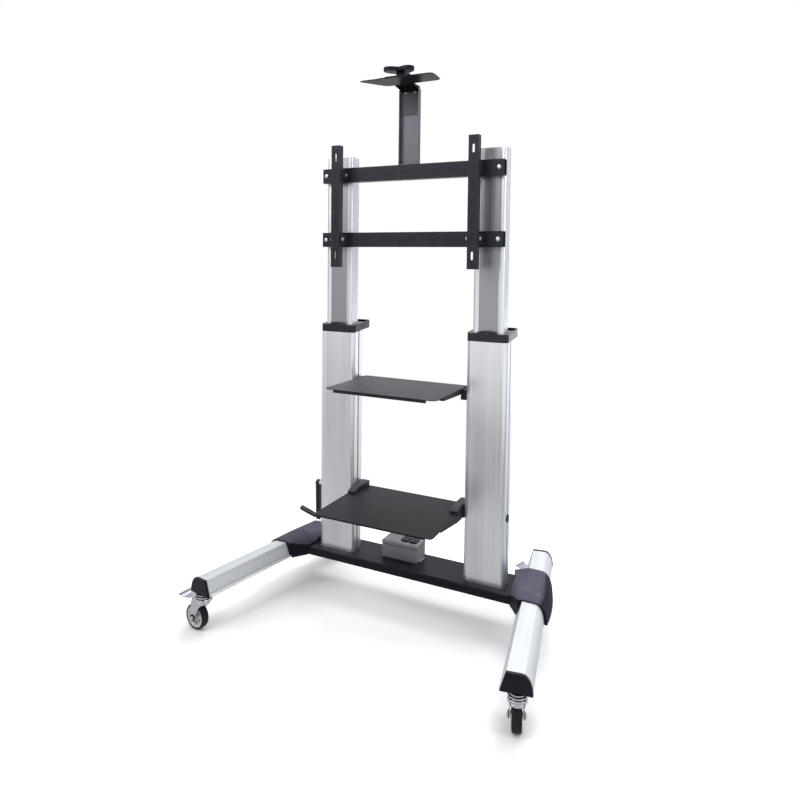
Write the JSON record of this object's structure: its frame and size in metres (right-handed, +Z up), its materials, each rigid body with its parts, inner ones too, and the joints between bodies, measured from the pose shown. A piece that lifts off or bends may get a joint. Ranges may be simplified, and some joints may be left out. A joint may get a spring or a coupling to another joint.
{
  "type": "mobile screen stand",
  "caption": "Tall mobile screen stand with two crank-driven lifting columns, splayed legs on casters, shelves, a power box and a camera shelf.",
  "frame": {"origin": "on the floor, in the middle of the stand's bounding box as stored, with the casters turned as in the picture", "axes": "+Z up, -Y to the front where the screen faces, +X to the right seen from the front"},
  "size_m": [1.4104, 0.9196, 2.19],
  "materials": {
    "anodised": "satin anodised extrusion",
    "black_plastic": "moulded, satin black",
    "black_paint": "fine satin black powder coat on sheet steel",
    "zinc": "bright zinc plated pressed steel",
    "wheel_core": "moulded light grey",
    "tyre": "grey-black rubber tread",
    "steel": "turned steel",
    "box_grey": "grey painted steel box",
    "post_grey": "dark grey powder coat"
  },
  "bodies": {
    "base": {"base_beam": "black_paint", "caster_head_front_left": "zinc", "caster_head_front_right": "zinc", "caster_head_rear_left": "zinc", "caster_head_rear_right": "zinc", "column_collar_left": "black_plastic", "column_collar_right": "black_plastic", "column_outer_left": "anodised", "column_outer_right": "anodised", "column_plug": "black_plastic", "corner_cover_left": "black_plastic", "corner_cover_right": "black_plastic", "leg_bar_left": "anodised", "leg_bar_right": "anodised", "leg_cap_front_left": "black_plastic", "leg_cap_front_right": "black_plastic", "leg_cap_rear_left": "black_plastic", "leg_cap_rear_right": "black_plastic", "power_box": "box_grey", "power_box_lid": "box_grey", "power_inlet": "black_plastic", "power_outlet_a": "black_plastic", "power_outlet_b": "black_plastic"},
    "lift": {"camera_post": "post_grey", "column_inner_left": "anodised", "column_inner_right": "anodised", "tv_rail_lower": "black_paint", "tv_rail_upper": "black_paint"},
    "screen_arm_left": {"screen_arm_left": "black_paint"},
    "screw_left": {"lead_screw_left": "steel"},
    "screen_arm_right": {"screen_arm_right": "black_paint"},
    "screw_right": {"lead_screw_right": "steel"},
    "cross_shaft": {"cross_shaft": "steel"},
    "crank": {"crank_shaft": "steel", "crank_arm": "black_plastic"},
    "crank_grip": {"crank_grip": "black_plastic"},
    "camera_shelf": {"camera_shelf": "black_paint"},
    "camera_knob": {"camera_knob": "black_plastic"},
    "shelf_upper": {"shelf_upper": "black_paint", "shelf_upper_arm_left": "black_paint", "shelf_upper_arm_right": "black_paint"},
    "shelf_lower": {"shelf_lower": "black_paint", "shelf_lower_arm_left": "black_paint", "shelf_lower_arm_right": "black_paint"},
    "fork_front_left": {"caster_fork_front_left": "zinc"},
    "wheel_front_left": {"caster_core_front_left": "wheel_core", "caster_tyre_front_left": "tyre"},
    "pedal_front_left": {"caster_pedal_front_left": "zinc"},
    "fork_front_right": {"caster_fork_front_right": "zinc"},
    "wheel_front_right": {"caster_core_front_right": "wheel_core", "caster_tyre_front_right": "tyre"},
    "pedal_front_right": {"caster_pedal_front_right": "zinc"},
    "fork_rear_left": {"caster_fork_rear_left": "zinc"},
    "wheel_rear_left": {"caster_core_rear_left": "wheel_core", "caster_tyre_rear_left": "tyre"},
    "pedal_rear_left": {"caster_pedal_rear_left": "zinc"},
    "fork_rear_right": {"caster_fork_rear_right": "zinc"},
    "wheel_rear_right": {"caster_core_rear_right": "wheel_core", "caster_tyre_rear_right": "tyre"},
    "pedal_rear_right": {"caster_pedal_rear_right": "zinc"}
  },
  "joints": [
    {"name": "crank_turn", "type": "hinge", "parent": "base", "child": "crank", "pos_m": [-0.38804, 0.11868, 0.445], "axis": [1, 0, 0], "range_deg": [-4499, 3599]},
    {"name": "lift_slide", "type": "slide", "parent": "base", "child": "lift", "axis": [0, 0, 1], "range_m": [-0.25, 0.2]},
    {"name": "screw_left_spin", "type": "hinge", "parent": "base", "child": "screw_left", "pos_m": [-0.30554, 0.11868, 0.6], "axis": [0, 0, 1], "range_deg": [-4500, 4500]},
    {"name": "screw_right_spin", "type": "hinge", "parent": "base", "child": "screw_right", "pos_m": [0.36766, 0.11868, 0.6], "axis": [0, 0, 1], "range_deg": [-4500, 4500]},
    {"name": "cross_shaft_spin", "type": "hinge", "parent": "base", "child": "cross_shaft", "pos_m": [0.03106, 0.11868, 0.1625], "axis": [1, 0, 0], "range_deg": [-4500, 4500]},
    {"name": "grip_spin", "type": "hinge", "parent": "crank", "child": "crank_grip", "pos_m": [-0.42304, 0.11868, 0.287], "axis": [-0.9613, 0, 0.2756], "continuous": true},
    {"name": "tilt_left", "type": "hinge", "parent": "lift", "child": "screen_arm_left", "pos_m": [-0.26894, 0.01038, 1.53], "axis": [1, 0, 0], "range_deg": [0, 12]},
    {"name": "tilt_right", "type": "hinge", "parent": "lift", "child": "screen_arm_right", "pos_m": [0.33106, 0.01038, 1.53], "axis": [1, 0, 0], "range_deg": [0, 12]},
    {"name": "camera_height", "type": "slide", "parent": "lift", "child": "camera_shelf", "axis": [0, 0, 1], "range_m": [-0.04, 0.06]},
    {"name": "camera_knob_turn", "type": "hinge", "parent": "camera_shelf", "child": "camera_knob", "pos_m": [0.03556, -0.02832, 2.16], "axis": [0, 0, 1], "range_deg": [-360, 360]},
    {"name": "shelf_upper_height", "type": "slide", "parent": "base", "child": "shelf_upper", "axis": [0, 0, 1], "range_m": [-0.15, 0.12]},
    {"name": "shelf_lower_height", "type": "slide", "parent": "base", "child": "shelf_lower", "axis": [0, 0, 1], "range_m": [-0.1, 0.18]},
    {"name": "swivel_front_left", "type": "hinge", "parent": "base", "child": "fork_front_left", "pos_m": [-0.59151, -0.42802, 0.1336], "axis": [0, 0, 1], "continuous": true},
    {"name": "roll_front_left", "type": "hinge", "parent": "fork_front_left", "child": "wheel_front_left", "pos_m": [-0.62631, -0.42436, 0.05], "axis": [-0.1045, -0.9945, 0], "continuous": true},
    {"name": "pedal_front_left_press", "type": "hinge", "parent": "fork_front_left", "child": "pedal_front_left", "pos_m": [-0.6283, -0.42416, 0.1225], "axis": [-0.1045, -0.9945, 0], "range_deg": [0, 8]},
    {"name": "swivel_front_right", "type": "hinge", "parent": "base", "child": "fork_front_right", "pos_m": [0.65363, -0.42802, 0.1336], "axis": [0, 0, 1], "continuous": true},
    {"name": "roll_front_right", "type": "hinge", "parent": "fork_front_right", "child": "wheel_front_right", "pos_m": [0.64339, -0.39455, 0.05], "axis": [-0.9563, -0.2924, 0], "continuous": true},
    {"name": "pedal_front_right_press", "type": "hinge", "parent": "fork_front_right", "child": "pedal_front_right", "pos_m": [0.64281, -0.39264, 0.1225], "axis": [-0.9563, -0.2924, 0], "range_deg": [0, 8]},
    {"name": "swivel_rear_left", "type": "hinge", "parent": "base", "child": "fork_rear_left", "pos_m": [-0.458, 0.39626, 0.1336], "axis": [0, 0, 1], "continuous": true},
    {"name": "roll_rear_left", "type": "hinge", "parent": "fork_rear_left", "child": "wheel_rear_left", "pos_m": [-0.49089, 0.38429, 0.05], "axis": [0.342, -0.9397, 0], "continuous": true},
    {"name": "pedal_rear_left_press", "type": "hinge", "parent": "fork_rear_left", "child": "pedal_rear_left", "pos_m": [-0.49277, 0.38361, 0.1225], "axis": [0.342, -0.9397, 0], "range_deg": [0, 8]},
    {"name": "swivel_rear_right", "type": "hinge", "parent": "base", "child": "fork_rear_right", "pos_m": [0.52012, 0.39626, 0.1336], "axis": [0, 0, 1], "continuous": true},
    {"name": "roll_rear_right", "type": "hinge", "parent": "fork_rear_right", "child": "wheel_rear_right", "pos_m": [0.48723, 0.40823, 0.05], "axis": [-0.342, -0.9397, 0], "continuous": true},
    {"name": "pedal_rear_right_press", "type": "hinge", "parent": "fork_rear_right", "child": "pedal_rear_right", "pos_m": [0.48535, 0.40891, 0.1225], "axis": [-0.342, -0.9397, 0], "range_deg": [0, 8]}
  ],
  "couplings": [
    {"joint": "lift_slide", "follows": "crank_turn", "m_per_rad": 0.0031831},
    {"joint": "screw_left_spin", "follows": "crank_turn", "ratio": 1},
    {"joint": "screw_right_spin", "follows": "crank_turn", "ratio": -1},
    {"joint": "cross_shaft_spin", "follows": "crank_turn", "ratio": -1},
    {"joint": "tilt_right", "follows": "tilt_left", "ratio": 1}
  ]
}
